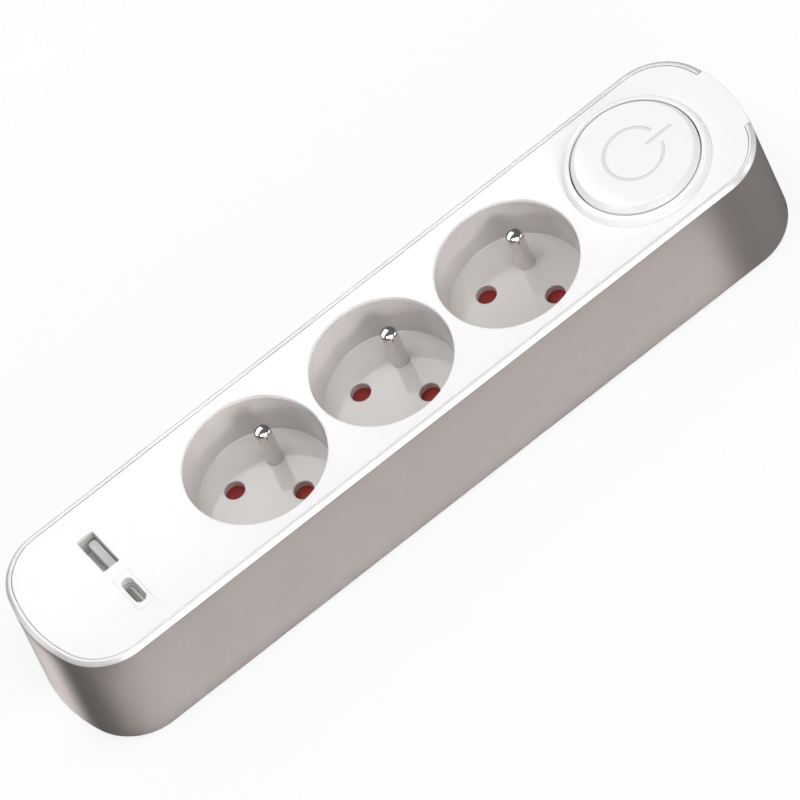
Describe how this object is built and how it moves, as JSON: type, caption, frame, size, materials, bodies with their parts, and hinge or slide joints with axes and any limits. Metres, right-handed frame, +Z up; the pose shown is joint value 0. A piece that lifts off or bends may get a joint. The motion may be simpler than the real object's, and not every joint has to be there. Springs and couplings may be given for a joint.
{
  "type": "power strip",
  "caption": "Desk power strip with round earthed sockets, charging ports and a large push switch; oblong flat-topped casing.",
  "frame": {"origin": "on the supporting surface, under the middle socket, at the centre of the footprint", "axes": "+X along the length towards the push switch and cord inlet, +Z up out of the sockets"},
  "size_m": [0.235, 0.05, 0.0415],
  "materials": {
    "casing_grey": "satin",
    "rim_white": "satin",
    "cover_white": "satin",
    "bezel_white": "satin",
    "button_white": "satin",
    "symbol_grey": "satin",
    "well_plastic": "gloss",
    "shutter_red": "satin",
    "insulator": "matt",
    "pin_metal": "polished",
    "contact_brass": "plain",
    "lead_brown": "satin",
    "lead_blue": "satin",
    "steel": "zinc plated",
    "shell_steel": "nickel plated",
    "tongue_grey": "matt",
    "tongue_dark": "matt",
    "switch_black": "matt",
    "board_green": "satin",
    "winding_yellow": "satin",
    "capacitor_black": "satin",
    "rubber": "matt",
    "clamp_plastic": "matt"
  },
  "bodies": {
    "housing": {"base_housing": "casing_grey", "rim_frame": "rim_white", "top_cover": "cover_white", "usb_c_insert": "cover_white", "button_bezel": "bezel_white", "socket_cup_1": "well_plastic", "socket_cup_2": "well_plastic", "socket_cup_3": "well_plastic", "shutter_guide_1": "insulator", "shutter_guide_2": "insulator", "shutter_guide_3": "insulator", "earth_pin_1": "pin_metal", "earth_pin_2": "pin_metal", "earth_pin_3": "pin_metal", "live_bar": "contact_brass", "neutral_bar": "contact_brass", "earth_bar": "contact_brass", "live_leads": "lead_brown", "neutral_leads": "lead_blue", "case_screws": "steel", "board_screws": "steel", "clamp_screws": "steel", "button_spring": "steel", "usb_a_shell": "shell_steel", "usb_c_shell": "shell_steel", "usb_a_tongue": "tongue_grey", "usb_c_tongue": "tongue_dark", "switch_body": "switch_black", "port_board": "board_green", "transformer": "winding_yellow", "capacitors": "capacitor_black", "rubber_feet": "rubber", "cord_gland": "rubber", "cord_clamp": "clamp_plastic"},
    "button": {"power_button": "button_white", "power_symbol": "symbol_grey", "switch_plunger": "switch_black"},
    "shutter_body_1": {"shutter_1": "shutter_red"},
    "shutter_body_2": {"shutter_2": "shutter_red"},
    "shutter_body_3": {"shutter_3": "shutter_red"}
  },
  "joints": [
    {"name": "button_press", "type": "slide", "parent": "housing", "child": "button", "axis": [0, 0, -1], "range_m": [0, 0.002], "stiffness_N_per_m": 400, "springref_m": -0.002, "deforming": ["button_spring"]},
    {"name": "shutter_slide_1", "type": "slide", "parent": "housing", "child": "shutter_body_1", "axis": [-0.7071, -0.7071, 0], "range_m": [0, 0.0064], "stiffness_N_per_m": 60, "springref_m": -0.002},
    {"name": "shutter_slide_2", "type": "slide", "parent": "housing", "child": "shutter_body_2", "axis": [-0.7071, -0.7071, 0], "range_m": [0, 0.0064], "stiffness_N_per_m": 60, "springref_m": -0.002},
    {"name": "shutter_slide_3", "type": "slide", "parent": "housing", "child": "shutter_body_3", "axis": [-0.7071, -0.7071, 0], "range_m": [0, 0.0064], "stiffness_N_per_m": 60, "springref_m": -0.002}
  ]
}
